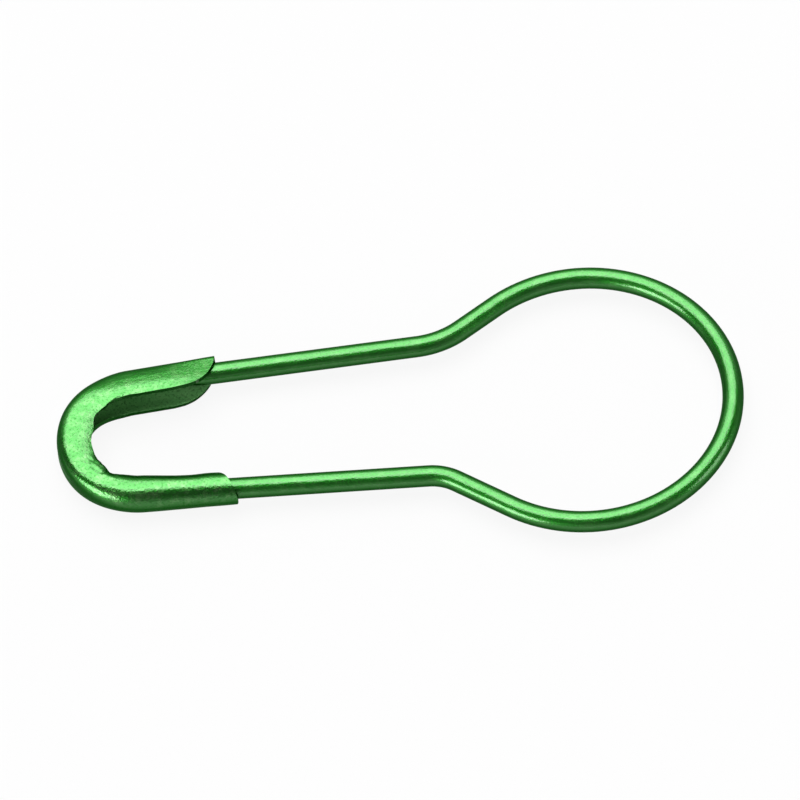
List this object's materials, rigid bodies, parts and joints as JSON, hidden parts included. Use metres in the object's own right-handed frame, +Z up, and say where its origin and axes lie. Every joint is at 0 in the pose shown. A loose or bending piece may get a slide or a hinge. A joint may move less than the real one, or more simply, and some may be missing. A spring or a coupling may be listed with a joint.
{
  "type": "bulb safety pin",
  "caption": "Pear-shaped safety pin of lacquered wire: a round loop springs the pointed arm into a folded sheet clasp crimped on the other arm.",
  "frame": {"origin": "under the middle of the outline, on the surface that the cap lies on", "axes": "the wire lies in a level plane; +Y from the cap to the loop, +X towards the arm that the cap is crimped on, +Z up"},
  "size_m": [0.01, 0.0218, 0.0012],
  "materials": {
    "green_wire": "metallic green lacquer on steel wire, glossy",
    "green_sheet": "metallic green lacquer on steel sheet, finely grained, satin"
  },
  "bodies": {
    "crimped_frame": {"clasp_cap": "green_sheet", "fixed_arm": "green_wire", "bulb_spring": "green_wire"},
    "pointed_arm": {"pin_arm": "green_wire"}
  },
  "joints": [
    {"name": "pin_flex", "type": "hinge", "parent": "crimped_frame", "child": "pointed_arm", "pos_m": [0, 0.00591, 0.0006], "axis": [0, 0, 1], "range_deg": [0, 10], "stiffness_Nm_per_rad": 0.06, "deforming": ["bulb_spring"]}
  ]
}
